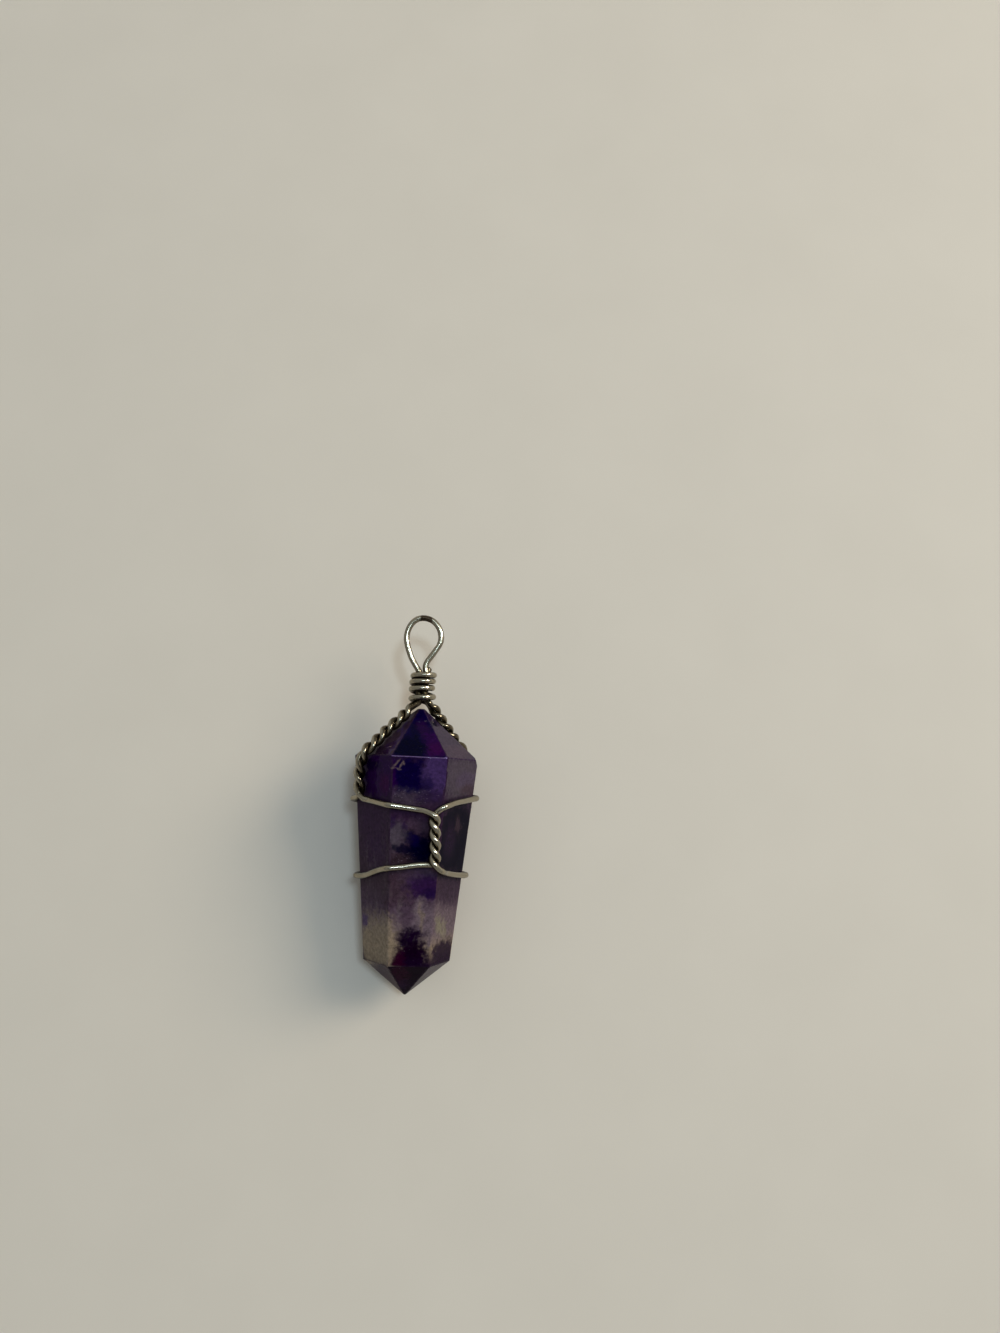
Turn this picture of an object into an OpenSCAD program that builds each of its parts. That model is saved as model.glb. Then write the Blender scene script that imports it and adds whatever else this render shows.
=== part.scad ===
// Amethyst point pendant: a six-sided, double-pointed stone in a cage of two twisted wires,
// with a hanging loop over a coiled neck. It lies on its back. Millimetres, +Z up, the loop
// towards +Y. The stone's own frame has its long axis along Y, its top shoulder at Y = 0 and
// its front facet towards +Z. An azimuth turns about that axis, from the front towards +X.

/* [Stone] */
// Length between the two shoulders
body_len = 26.9; // [24:0.1:30]
// Height of the upper point above its shoulder
top_h = 7.15; // [6:0.05:7.5]
// Height of the lower point below its shoulder
bottom_h = 4.6; // [3.5:0.1:6]
// Distance from the long axis to the side ridges at the top shoulder
ridge_r = 8.4; // [8:0.05:9]
// Distance from the long axis to the front facet at the top shoulder
front_d = 7.9; // [7.5:0.05:8.3]
// Part of the width that is left at the bottom shoulder
taper = 0.692; // [0.6:0.002:0.8]
// The same for the facet to the left of the front one
left_taper = 0.674; // [0.66:0.002:0.7]
// Part of the front facet's distance that is left at the bottom shoulder
front_taper = 0.635; // [0.6:0.005:0.7]
// Azimuth of the facet to the right of the front one
right_azimuth = 58; // [56:1:62]
// Azimuth of the facet to the left of the front one, to the left
left_azimuth = 60; // [57:1:62]
// Sideways shift of the upper point from the long axis
apex_shift = 0.24; // [0.1:0.02:0.44]
// Height lost at the upper point, where it is worn blunt
upper_blunt = 0.42; // [0.05:0.01:0.5]
// Height lost at the lower point
lower_blunt = 0.12; // [0.05:0.01:0.3]
// Width lost over the worn corner at the right end of the upper shoulder
corner_loss = 0.62; // [0.3:0.02:0.8]

/* [Wire] */
// Wire diameter
wire_d = 0.8; // [0.7:0.02:0.8]
// Space between the two strands of a twisted pair
strand_gap = 0.08; // [0.06:0.01:0.1]
// Space between a band and the facets under it
band_gap = 0.14; // [0.1:0.01:0.2]
// Space between a twisted pair and the facets under it
pair_gap = 0.06; // [0.05:0.01:0.15]

/* [Neck and loop] */
// Radius of the coil, to the middle of its wire
coil_r = 1.43; // [1.42:0.01:1.6]
// Radius of the four-strand bundle inside the coil, to the middle of a strand
bundle_r = 0.587; // [0.587:0.001:0.6]
// Sideways places of the neck, at its base and at each millimetre above it
neck_rows = [0.38, 0.2, 0.14, 0.28, 0.36]; // [0.1:0.01:0.4]

/* [Rest] */
// Roll to the right on the back ridge, in degrees
rest_roll = 8.825; // [0:0.005:15]
// Slope down to the lower point, in degrees
rest_slope = 4.975; // [0:0.005:10]
// Place of the stone's own origin over the table
rest_place = [-0.041, 5.827, 8.639]; // [-20:0.001:20]

/* [Hidden] */

wire_r = wire_d / 2;
tube_sides = 8;
// Steps from one crossing of a twisted pair to the next
crossing_steps = 5;
// Part of a crossing over which the direction of a pair's middle line is measured
way_span = 0.05;
// Largest step of a band about the axis, in degrees
band_step = 5;
// Sharpness of the wire's bend over a ridge
bend_power = 60;
// Least facing of a facet that a wire can bear on
least_facing = 0.2;
front = [0, 0, 1];
back = [0, 0, -1];

twist_r = wire_r + strand_gap / 2;
seat = wire_r + band_gap;
core_seat = twist_r + wire_r + pair_gap;

// One row for each side of the stone: azimuth, distance from the axis at the top shoulder,
// and the part of it that is left at the bottom shoulder
side_azimuth = 120;
right_d = ridge_r * sin(right_azimuth);
left_d = ridge_r * sin(left_azimuth);
back_d = ridge_r * sin(side_azimuth);
sides = [
    [0, front_d, front_taper],
    [right_azimuth, right_d, taper],
    [side_azimuth, back_d, taper],
    [180, back_d, taper],
    [-side_azimuth, back_d, taper],
    [-left_azimuth, left_d, left_taper]
];

// A facet's plane: azimuth, outward part and lengthwise part of its normal, distance from
// the origin. It runs from a low to a high point, each given as [distance, height].
function plane(azimuth, low, high) =
    let (run = high - low, across = run.y / norm(run), along = -run.x / norm(run))
    [azimuth, across, along, across * low.x + along * low.y];

function side_plane(s) = plane(s[0], [s[1] * s[2], -body_len], [s[1], 0]);
function top_plane(s) = plane(s[0], [s[1], 0], [apex_shift * sin(s[0]), top_h]);
function bottom_plane(s) = plane(s[0], [0, -body_len - bottom_h], [s[1] * s[2], -body_len]);

side_planes = [for (s = sides) side_plane(s)];
top_planes = [for (s = sides) top_plane(s)];
bottom_planes = [for (s = sides) bottom_plane(s)];
tip_planes = [
    [0, 0, 1, top_h - upper_blunt],
    [0, 0, -1, body_len + bottom_h - lower_blunt]
];
wrapped_planes = concat(side_planes, top_planes);
corner_azimuth = 89;
corner_reach = 0.95;
corner_plane =
    plane(corner_azimuth, [ridge_r, -corner_reach], [ridge_r - corner_loss, corner_reach]);

function unit(v) = v / norm(v);
function total(list) = list * [for (item = list) 1];
function soft_min(list) = pow(total([for (v = list) pow(v, -bend_power)]), -1 / bend_power);

// A point at an azimuth and a height that stands off the facets by a given distance
function hug(azimuth, height, off) =
    let (
        reaches = [
            for (p = wrapped_planes)
                let (facing = cos(azimuth - p[0]))
                if (facing > least_facing) (p[3] + off - p[2] * height) / (p[1] * facing)
        ],
        r = soft_min(reaches)
    )
    [r * sin(azimuth), height, r * cos(azimuth)];

// A smooth curve through a list of points, at a place counted in points
function curve_at(points, place) =
    let (
        last = len(points) - 1,
        i = max(0, min(floor(place), last - 1)),
        t = place - i,
        p1 = points[i],
        p2 = points[i + 1],
        p0 = i > 0 ? points[i - 1] : 2 * p1 - p2,
        p3 = i < last - 1 ? points[i + 2] : 2 * p2 - p1
    )
    p1 + t / 2 * (p2 - p0) + t * t / 2 * (2 * p0 - 5 * p1 + 4 * p2 - p3)
    + t * t * t / 2 * (3 * p1 - p0 - 3 * p2 + p3);

function curve(points, steps) =
    [for (k = [0:(len(points) - 1) * steps]) curve_at(points, k / steps)];

// One strand of a pair at a place counted in crossings. A strand of side 1 lies on the
// outer side at each even crossing, and one of side -1 at each odd crossing.
function strand_at(core, place, side, outer) =
    let (
        middle = curve_at(core, place),
        way = unit(curve_at(core, place + way_span) - curve_at(core, place - way_span)),
        n = unit(outer - (outer * way) * way),
        angle = 180 * place
    )
    middle + side * twist_r * (cos(angle) * n - sin(angle) * cross(way, n));

function strand(core, from, to, side, outer) =
    let (count = round(abs(to - from) * crossing_steps))
    [for (k = [0:count]) strand_at(core, from + (to - from) * k / count, side, outer)];

// A band: rows of azimuth, height and distance off the facets, smoothed between the rows.
// Its last row only sets the course, and the twisted pair that follows starts near it.
function band(rows) =
    [
        for (i = [0:len(rows) - 2])
            let (count = ceil(abs(rows[i + 1][0] - rows[i][0]) / band_step))
            for (k = [0:count - 1])
                let (q = curve_at(rows, i + k / count))
                hug(q[0], q[1], q[2])
    ];

function reversed(list) = [for (i = [len(list) - 1:-1:0]) list[i]];
function cores(rows) = [for (row = rows) hug(row[0], row[1], core_seat + row[2])];

// Middle lines of the twisted pairs, a row for each crossing: azimuth, height, extra lift
left_core = cores([
    [-54, 6.26, 0.06], [-58, 5.1, 0], [-63.4, 3.9, 0], [-63, 2.79, 0], [-61.8, 1.54, 0],
    [-62.8, 0.31, 0], [-69.5, -1.5, 0], [-72, -3.2, 0], [-72, -5.2, 0]
]);
right_core = cores([
    [116, 7.23, 0.4], [109.4, 5.99, 0.14], [112.3, 4.74, 0.11], [114.5, 3.53, 0.09],
    [115.5, 2.4, 0.06], [117, 0.85, 0.13], [115, -1.3, 0.1], [112, -3, 0], [110, -4.9, 0]
]);
front_core = cores([
    [14.6, -7.35, 0], [15.8, -8.9, 0], [17, -10.5, 0], [18, -12.1, 0], [19, -13.7, 0]
]);
back_core = cores([
    [195, -7.35, 0], [196, -8.9, 0], [197, -10.5, 0.02], [198, -12.1, 0.06], [199, -13.7, 0.02]
]);
pair_end = 8;
twist_end = 4;
// A strand that leaves on the inner side of its pair leaves this much sooner
early = 0.2;

// Bands, a row for each place that sets their course: azimuth, height, distance off the
// facets. Where a band bends over a ridge, a row stands at the ridge.
upper_front_left = [
    [-65, -5.72, 0.85], [-58, -5.87, seat], [-44, -6.05, seat], [-26.4, -6.31, seat],
    [-8, -6.6, seat], [2, -6.76, 0.74], [8.5, -6.93, 1.13]
];
upper_front_right = [
    [101, -5.05, seat], [90, -5.12, seat], [64, -5.45, seat], [41, -5.75, seat],
    [24.5, -6.22, seat], [18.5, -6.8, seat]
];
upper_back_right = [
    [117, -5.5, 0.8], [124, -5.75, seat], [136, -5.95, seat], [150, -6.15, seat],
    [170, -6.5, seat], [182, -6.73, 0.74], [188.5, -6.93, 1.12]
];
upper_back_left = [
    [279, -5.55, seat], [270, -5.8, seat], [250, -6.05, seat], [230, -6.1, seat],
    [210, -6.2, seat], [199, -6.75, seat]
];
lower_right = [
    [23.5, -14.37, 1.03], [29, -14.62, 0.77], [36, -14.8, seat], [52, -15.1, seat],
    [76, -15.4, seat], [90, -15.5, seat], [120, -15.3, seat], [150, -14.7, seat],
    [172, -14.1, seat], [184, -13.85, seat], [192, -13.72, seat]
];
lower_left = [
    [12, -13.72, seat], [2, -13.8, seat], [-13, -14.1, seat], [-27.2, -14.34, seat],
    [-44, -14.85, seat], [-64, -15.55, seat], [-78, -15.88, seat], [-90, -15.98, seat],
    [-105, -15.85, seat], [-120, -15.6, seat], [-136, -15.15, seat], [-144, -14.95, seat],
    [-150, -14.77, 0.64], [-156, -14.46, 0.96]
];

// The neck's middle line at a height above the stone
neck_base = 8;
function neck_axis(height) = [curve_at(neck_rows, height - neck_base), height, 0];
function around_neck(angle, radius, height) =
    neck_axis(height) + radius * [cos(angle), 0, sin(angle)];

// A strand of the bundle, from its low to its high end
slot_angles = [60, 150, 240, 330];
slot_steps = 4;
function slot(k, low, high) =
    [
        for (i = [0:slot_steps])
            around_neck(slot_angles[k], bundle_r, low + (high - low) * i / slot_steps)
    ];

// The loop's middle line, from the right leg over the top to the left leg: across, along
loop_z = 0.42;
loop_turn = 0.12;
loop_points = [
    for (p = [
        [0.55, 11.9], [0.47, 12.5], [0.58, 13.07], [0.89, 13.63], [1.53, 14.56], [2.03, 15.38],
        [2.36, 16.09], [2.38, 16.89], [2.21, 17.68], [1.78, 18.41], [1.06, 19.05], [0.06, 19.33],
        [-0.91, 19.17], [-1.67, 18.55], [-2.13, 17.67], [-2.31, 16.76], [-2.25, 15.87],
        [-1.95, 14.79], [-1.51, 13.71], [-1.02, 12.89], [-0.64, 12.3], [-0.34, 11.85]
    ]) [p.x, p.y, loop_z + loop_turn * p.x]
];
loop_steps = 2;
// Ends of the strands that stop inside the coil, and of the one that stands above it
inner_low = 8.6;
inner_high = 11.1;
stub_end = [1.15, 12.5, -0.43];
bundle_low = 8.3;
bundle_high = 11.45;
stub_low = 11.9;

// Bends between the neck and the pairs, each the way its wire runs
left_bend_out = [[-0.4, 7.66, 0.42], [-0.9, 7.3, 0.74], [-1.32, 7.02, 1.12], [-1.66, 6.66, 1.5]];
left_bend_in = [
    [-1.4, 6.66, 0.42], [-1.04, 6.96, 0.12], [-0.72, 7.22, -0.14], [-0.38, 7.44, -0.4],
    [-0.1, 7.7, -0.5]
];
right_bend_out = [[0.98, 7.83, -1.48], [1.42, 7.4, -1.36]];
right_bend_in = [[1.3, 7.65, -0.12]];

// The coil, a row for each quarter turn down from its cut end at the back: height, radius.
// Each turn passes the front, the left, the back and the right in that order.
coil_start = -0.5;
coil_rows = [
    [11.78, coil_r], [11.5, coil_r], [11.36, coil_r], [11.27, coil_r], [10.95, coil_r],
    [10.66, coil_r], [10.5, coil_r], [10.4, coil_r], [10.08, 1.44], [9.72, 1.46],
    [9.54, 1.45], [9.42, 1.44], [9.05, 1.47], [8.5, 1.5], [8.28, 1.56], [8.14, 1.6], [8.02, 1.6]
];
coil_steps = 3;
coil_points = [
    for (k = [0:(len(coil_rows) - 1) * coil_steps])
        let (q = curve_at(coil_rows, k / coil_steps), turn = coil_start + k / coil_steps / 4)
        around_neck(90 + 360 * turn, q[1], q[0])
];

// The whole course of each wire, one point for each ring of its tube
loop_wire_route = concat(
    slot(0, inner_low, bundle_high),
    curve(loop_points, loop_steps),
    reversed(slot(1, bundle_low, bundle_high)),
    left_bend_out,
    strand(left_core, early, pair_end, 1, front),
    band(upper_front_left),
    strand(front_core, 0, twist_end, 1, front),
    band(lower_right),
    strand(back_core, twist_end, 0, -1, back),
    reversed(band(upper_back_left)),
    strand(left_core, pair_end - early, 0, -1, front),
    left_bend_in,
    slot(2, bundle_low, inner_high)
);
coil_wire_route = concat(
    coil_points,
    right_bend_out,
    strand(right_core, 2 * early, pair_end - early, -1, front),
    band(upper_back_right),
    strand(back_core, 0, twist_end, 1, back),
    reversed(band(lower_left)),
    strand(front_core, twist_end, 0, -1, front),
    reversed(band(upper_front_right)),
    strand(right_core, pair_end - early, 0, 1, front),
    right_bend_in,
    slot(3, bundle_low, stub_low),
    [stub_end]
);

// The direction of a route at each of its points
function ways(route) =
    let (last = len(route) - 1)
    [for (i = [0:last]) unit(route[min(i + 1, last)] - route[max(i - 1, 0)])];

// Side directions that turn no more than the route does
function side_ways(way) =
    [
        for (
            i = 0, v = unit(cross(way[0], abs(way[0].z) < 0.9 ? front : [1, 0, 0]));
            i < len(way);
            i = i + 1, v = i < len(way) ? unit(v - (v * way[i]) * way[i]) : v
        ) v
    ];

// A round wire along a route, as a closed tube
module tube(route) {
    way = ways(route);
    side = side_ways(way);
    last = len(route) - 1;
    rings = [
        for (i = [0:last])
            let (up = cross(way[i], side[i]))
            for (k = [0:tube_sides - 1])
                let (angle = 360 * k / tube_sides)
                route[i] + wire_r * (cos(angle) * side[i] + sin(angle) * up)
    ];
    walls = [
        for (i = [0:last - 1])
            for (k = [0:tube_sides - 1])
                let (a = i * tube_sides, b = a + tube_sides, next = (k + 1) % tube_sides)
                [a + k, b + k, b + next, a + next]
    ];
    start_cap = [for (k = [0:tube_sides - 1]) k];
    end_cap = [for (k = [tube_sides - 1:-1:0]) last * tube_sides + k];
    polyhedron(rings, concat(walls, [start_cap, end_cap]), convexity = 12);
}

// Everything on the stone's side of a plane, within a large block
block = 80;
module inside(p) {
    rotate([0, p[0], 0])
        rotate([-asin(p[2]), 0, 0])
            translate([-block / 2, -block / 2, p[3] - block])
                cube(block);
}

// Turns the pendant from the stone's own frame to the way it lies
module at_rest() {
    translate(rest_place)
        rotate([rest_slope, 0, 0])
            rotate([0, rest_roll, 0])
                children();
}

module crystal() {
    color([0.23, 0.14, 0.33])
        at_rest()
            intersection_for(p = concat(side_planes, top_planes, bottom_planes, tip_planes, [corner_plane]))
                inside(p);
}

module loop_wire() {
    color([0.55, 0.52, 0.43]) at_rest() tube(loop_wire_route);
}

module coil_wire() {
    color([0.6, 0.56, 0.46]) at_rest() tube(coil_wire_route);
}

crystal();
loop_wire();
coil_wire();
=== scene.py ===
"""Wire-wrapped amethyst point, lying on its back on a plain pale floor.

The stone's own frame is in millimetres: Y towards the loop with the upper shoulder at Y = 0, Z out
of the front facet, X to the right. An azimuth turns about Y, from the front towards X. to_row()
turns that frame to the row frame, in metres. The stone's planes and the routes of the two wires
repeat those of the CAD model. Here the stone's edges are worn, and the wires are round and smooth.
"""
import math

import bmesh
import bpy
import numpy as np
from mathutils import Matrix, Vector
from mathutils import noise as soft_noise
from mathutils.bvhtree import BVHTree


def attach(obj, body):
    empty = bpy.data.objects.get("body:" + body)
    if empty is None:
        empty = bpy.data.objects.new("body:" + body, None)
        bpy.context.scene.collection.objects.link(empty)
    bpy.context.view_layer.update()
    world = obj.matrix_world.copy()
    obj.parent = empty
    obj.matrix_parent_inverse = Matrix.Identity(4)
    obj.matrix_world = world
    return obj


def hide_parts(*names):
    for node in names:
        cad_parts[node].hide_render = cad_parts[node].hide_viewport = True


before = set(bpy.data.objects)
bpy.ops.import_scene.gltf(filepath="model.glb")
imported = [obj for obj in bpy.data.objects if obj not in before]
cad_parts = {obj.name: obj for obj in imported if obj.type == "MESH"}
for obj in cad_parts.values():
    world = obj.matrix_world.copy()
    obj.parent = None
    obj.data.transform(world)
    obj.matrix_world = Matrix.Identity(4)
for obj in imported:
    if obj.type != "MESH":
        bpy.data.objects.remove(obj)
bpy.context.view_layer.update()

# ---- the way the pendant lies ----
ROLL, SLOPE = math.radians(8.825), math.radians(4.975)
PLACE = np.array([-0.041, 5.827, 8.639])
TURN = np.array(Matrix.Rotation(SLOPE, 3, "X") @ Matrix.Rotation(ROLL, 3, "Y"), float)


def to_row(points):
    return (np.asarray(points, float) @ TURN.T + PLACE) / 1000


def unit(v):
    v = np.asarray(v, float)
    return v / np.linalg.norm(v, axis=-1, keepdims=True)


# ---- the stone's planes ----
# Lengths of the body, the upper point and the lower point
BODY, TOP, BOTTOM = 26.9, 7.15, 4.6
# Distances from the long axis to the side ridges and to the front facet, at the upper shoulder
RIDGE, FRONT = 8.4, 7.9
# Part of a facet's distance that is left at the lower shoulder
TAPER, FRONT_TAPER, LEFT_TAPER = 0.692, 0.635, 0.674
# Azimuths of the facets beside the front one, and of the back ones
RIGHT_AT, LEFT_AT, BACK_AT = 58, 60, 120
# Sideways shift of the upper point, and the heights lost where both points are worn blunt
SHIFT, UPPER_BLUNT, LOWER_BLUNT = 0.24, 0.42, 0.12
# The worn corner at the right end of the upper shoulder: azimuth, width lost, reach up and down
CORNER_AT, CORNER_LOSS, CORNER_REACH = 89, 0.62, 0.95
RIGHT_SIDE, LEFT_SIDE, BACK = (
    RIDGE * math.sin(math.radians(a)) for a in (RIGHT_AT, LEFT_AT, BACK_AT)
)
# A row for each side of the stone: azimuth, distance at the upper shoulder, part left at the lower
SIDES = [
    (0, FRONT, FRONT_TAPER),
    (RIGHT_AT, RIGHT_SIDE, TAPER),
    (BACK_AT, BACK, TAPER),
    (180, BACK, TAPER),
    (-BACK_AT, BACK, TAPER),
    (-LEFT_AT, LEFT_SIDE, LEFT_TAPER),
]


def plane(azimuth, low, high):
    """A facet through two [distance, height] points: azimuth, outward and lengthwise part of its
    normal, distance from the origin."""
    run = (high[0] - low[0], high[1] - low[1])
    size = math.hypot(*run)
    across, along = run[1] / size, -run[0] / size
    return azimuth, across, along, across * low[0] + along * low[1]


SIDE_PLANES = [plane(a, (d * t, -BODY), (d, 0)) for a, d, t in SIDES]
TOP_PLANES = [plane(a, (d, 0), (SHIFT * math.sin(math.radians(a)), TOP)) for a, d, t in SIDES]
BOTTOM_PLANES = [plane(a, (0, -BODY - BOTTOM), (d * t, -BODY)) for a, d, t in SIDES]
TIPS = [(0, 0, 1, TOP - UPPER_BLUNT), (0, 0, -1, BODY + BOTTOM - LOWER_BLUNT)]
CORNER = plane(CORNER_AT, (RIDGE, -CORNER_REACH), (RIDGE - CORNER_LOSS, CORNER_REACH))
ALL_PLANES = SIDE_PLANES + TOP_PLANES + BOTTOM_PLANES + TIPS + [CORNER]
NORMALS = np.array([
    (out * math.sin(math.radians(a)), along, out * math.cos(math.radians(a)))
    for a, out, along, d in ALL_PLANES
])
DISTANCES = np.array([p[3] for p in ALL_PLANES])

# ---- the wires' routes ----
# The wire's radius in the CAD model, and the mean radius that is drawn here
WIRE_R, DRAWN_R = 0.4, 0.396
# Space between the two strands of a pair, and between a band and the facets under it
STRAND_GAP, BAND_GAP = 0.032, 0.14
# From a pair's middle line to a strand's, from a facet to a band's, and from a facet to a pair's
TWIST_R, SEAT, CORE_SEAT = WIRE_R + STRAND_GAP / 2, WIRE_R + BAND_GAP, 0.9
FRONT_WAY, BACK_WAY = np.array([0, 0, 1.0]), np.array([0, 0, -1.0])
# Sharpness of the wire's bend over a ridge, and least facing of a facet that a wire can bear on
BEND_POWER, LEAST_FACING = 60, 0.2
# Steps from one crossing of a pair to the next, and the span over which its direction is measured
CROSSING_STEPS, WAY_SPAN = 5, 0.05
# Largest step of a band about the axis, in degrees
BAND_STEP = 5


def hug(azimuth, height, off):
    """The point at an azimuth and a height that stands off the facets by a distance."""
    reaches = []
    for a, out, along, d in SIDE_PLANES + TOP_PLANES:
        facing = math.cos(math.radians(azimuth - a))
        if facing > LEAST_FACING:
            reaches.append((d + off - along * height) / (out * facing))
    r = sum(v**-BEND_POWER for v in reaches) ** (-1 / BEND_POWER)
    a = math.radians(azimuth)
    return np.array([r * math.sin(a), height, r * math.cos(a)])


def curve_at(points, place):
    """A smooth curve through a list of points, at a place counted in points."""
    last = len(points) - 1
    i = max(0, min(math.floor(place), last - 1))
    t = place - i
    p1, p2 = np.asarray(points[i], float), np.asarray(points[i + 1], float)
    p0 = np.asarray(points[i - 1], float) if i > 0 else 2 * p1 - p2
    p3 = np.asarray(points[i + 2], float) if i < last - 1 else 2 * p2 - p1
    return (
        p1
        + t / 2 * (p2 - p0)
        + t * t / 2 * (2 * p0 - 5 * p1 + 4 * p2 - p3)
        + t**3 / 2 * (3 * p1 - p0 - 3 * p2 + p3)
    )


def curve(points, steps):
    return [curve_at(points, k / steps) for k in range((len(points) - 1) * steps + 1)]


def strand(core, start, end, side, outer):
    """One strand of a twisted pair, from one crossing to another. A strand of side 1 lies on the
    outer side at each even crossing, and one of side -1 at each odd crossing."""
    count, out = round(abs(end - start) * CROSSING_STEPS), []
    for k in range(count + 1):
        place = start + (end - start) * k / count
        way = unit(curve_at(core, place + WAY_SPAN) - curve_at(core, place - WAY_SPAN))
        n = unit(outer - (outer @ way) * way)
        angle = math.pi * place
        turned = math.cos(angle) * n - math.sin(angle) * np.cross(way, n)
        out.append(curve_at(core, place) + side * TWIST_R * turned)
    return out


def band(rows):
    """Rows of azimuth, height and distance off the facets, as points that are close together.
    The last row only sets the course, and the twisted pair that follows starts near it."""
    out = []
    for i in range(len(rows) - 1):
        count = math.ceil(abs(rows[i + 1][0] - rows[i][0]) / BAND_STEP)
        out += [hug(*curve_at(rows, i + k / count)) for k in range(count)]
    return out


def cores(rows):
    return [hug(azimuth, height, CORE_SEAT + lift) for azimuth, height, lift in rows]


# Middle lines of the twisted pairs, a row for each crossing: azimuth, height, extra lift
LEFT_CORE = cores([
    (-54, 6.26, 0.06), (-58, 5.1, 0), (-63.4, 3.9, 0), (-63, 2.79, 0), (-61.8, 1.54, 0),
    (-62.8, 0.31, 0), (-69.5, -1.5, 0), (-72, -3.2, 0), (-72, -5.2, 0),
])
RIGHT_CORE = cores([
    (116, 7.23, 0.4), (109.4, 5.99, 0.14), (112.3, 4.74, 0.11), (114.5, 3.53, 0.09),
    (115.5, 2.4, 0.06), (117, 0.85, 0.13), (115, -1.3, 0.1), (112, -3, 0), (110, -4.9, 0),
])
FRONT_CORE = cores([
    (14.6, -7.35, 0), (15.8, -8.9, 0), (17, -10.5, 0), (18, -12.1, 0), (19, -13.7, 0),
])
BACK_CORE = cores([
    (195, -7.35, 0), (196, -8.9, 0), (197, -10.5, 0.02), (198, -12.1, 0.06), (199, -13.7, 0.02),
])
# Last crossings of the long pairs and of the short ones. A strand that leaves on the inner side of
# its pair leaves sooner by EARLY.
PAIR_END, TWIST_END, EARLY = 8, 4, 0.2

# Bands, a row for each place that sets their course: azimuth, height, distance off the facets.
# Where a band bends over a ridge, a row stands at the ridge.
UPPER_FRONT_LEFT = [
    (-65, -5.72, 0.85), (-58, -5.87, SEAT), (-44, -6.05, SEAT), (-26.4, -6.31, SEAT),
    (-8, -6.6, SEAT), (2, -6.76, 0.74), (8.5, -6.93, 1.13),
]
UPPER_FRONT_RIGHT = [
    (101, -5.05, SEAT), (90, -5.12, SEAT), (64, -5.45, SEAT), (41, -5.75, SEAT),
    (24.5, -6.22, SEAT), (18.5, -6.8, SEAT),
]
UPPER_BACK_RIGHT = [
    (117, -5.5, 0.8), (124, -5.75, SEAT), (136, -5.95, SEAT), (150, -6.15, SEAT),
    (170, -6.5, SEAT), (182, -6.73, 0.74), (188.5, -6.93, 1.12),
]
UPPER_BACK_LEFT = [
    (279, -5.55, SEAT), (270, -5.8, SEAT), (250, -6.05, SEAT), (230, -6.1, SEAT),
    (210, -6.2, SEAT), (199, -6.75, SEAT),
]
LOWER_RIGHT = [
    (23.5, -14.37, 1.03), (29, -14.62, 0.77), (36, -14.8, SEAT), (52, -15.1, SEAT),
    (76, -15.4, SEAT), (90, -15.5, SEAT), (120, -15.3, SEAT), (150, -14.7, SEAT),
    (172, -14.1, SEAT), (184, -13.85, SEAT), (192, -13.72, SEAT),
]
LOWER_LEFT = [
    (12, -13.72, SEAT), (2, -13.8, SEAT), (-13, -14.1, SEAT), (-27.2, -14.34, SEAT),
    (-44, -14.85, SEAT), (-64, -15.55, SEAT), (-78, -15.88, SEAT), (-90, -15.98, SEAT),
    (-105, -15.85, SEAT), (-120, -15.6, SEAT), (-136, -15.15, SEAT), (-144, -14.95, SEAT),
    (-150, -14.77, 0.64), (-156, -14.46, 0.96),
]

# Sideways places of the neck, at its base and at each millimetre above it
NECK_ROWS, NECK_BASE = [0.38, 0.2, 0.14, 0.28, 0.36], 8
# The bundle inside the coil: its radius, and the places of its four strands
BUNDLE_R, SLOT_ANGLES, SLOT_STEPS = 0.587, (60, 150, 240, 330), 4
BUNDLE_LOW, BUNDLE_HIGH = 8.3, 11.45
# Ends of the strands that stop inside the coil, and of the one that stands above it
INNER_LOW, INNER_HIGH = 8.6, 11.1
STUB_LOW, STUB_END = 11.9, (1.15, 12.5, -0.43)


def around_neck(angle, radius, height):
    """The point at an angle from the right, a radius off the neck's middle line and a height."""
    a = math.radians(angle)
    x = curve_at(NECK_ROWS, height - NECK_BASE)
    return np.array([x + radius * math.cos(a), height, radius * math.sin(a)])


def slot(k, low, high):
    """A strand of the bundle, from its low to its high end."""
    return [
        around_neck(SLOT_ANGLES[k], BUNDLE_R, low + (high - low) * i / SLOT_STEPS)
        for i in range(SLOT_STEPS + 1)
    ]


# The loop, from the right leg over the top to the left leg: across, along
LOOP_Z, LOOP_TURN, LOOP_STEPS = 0.42, 0.12, 2
LOOP = [
    (x, y, LOOP_Z + LOOP_TURN * x)
    for x, y in [
        (0.55, 11.9), (0.47, 12.5), (0.58, 13.07), (0.89, 13.63), (1.53, 14.56), (2.03, 15.38),
        (2.36, 16.09), (2.38, 16.89), (2.21, 17.68), (1.78, 18.41), (1.06, 19.05), (0.06, 19.33),
        (-0.91, 19.17), (-1.67, 18.55), (-2.13, 17.67), (-2.31, 16.76), (-2.25, 15.87),
        (-1.95, 14.79), (-1.51, 13.71), (-1.02, 12.89), (-0.64, 12.3), (-0.34, 11.85),
    ]
]
# The coil, a row for each quarter turn down from its cut end at the back: height, radius
COIL_R, COIL_START, COIL_STEPS = 1.43, -0.5, 3
COIL_ROWS = [
    (11.78, COIL_R), (11.5, COIL_R), (11.36, COIL_R), (11.27, COIL_R), (10.95, COIL_R),
    (10.66, COIL_R), (10.5, COIL_R), (10.4, COIL_R), (10.08, 1.44), (9.72, 1.46),
    (9.54, 1.45), (9.42, 1.44), (9.05, 1.47), (8.5, 1.5), (8.28, 1.56), (8.14, 1.6), (8.02, 1.6),
]
COIL = [
    around_neck(90 + 360 * (COIL_START + k / (4 * COIL_STEPS)), radius, height)
    for k, (height, radius) in enumerate(curve(COIL_ROWS, COIL_STEPS))
]
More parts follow.
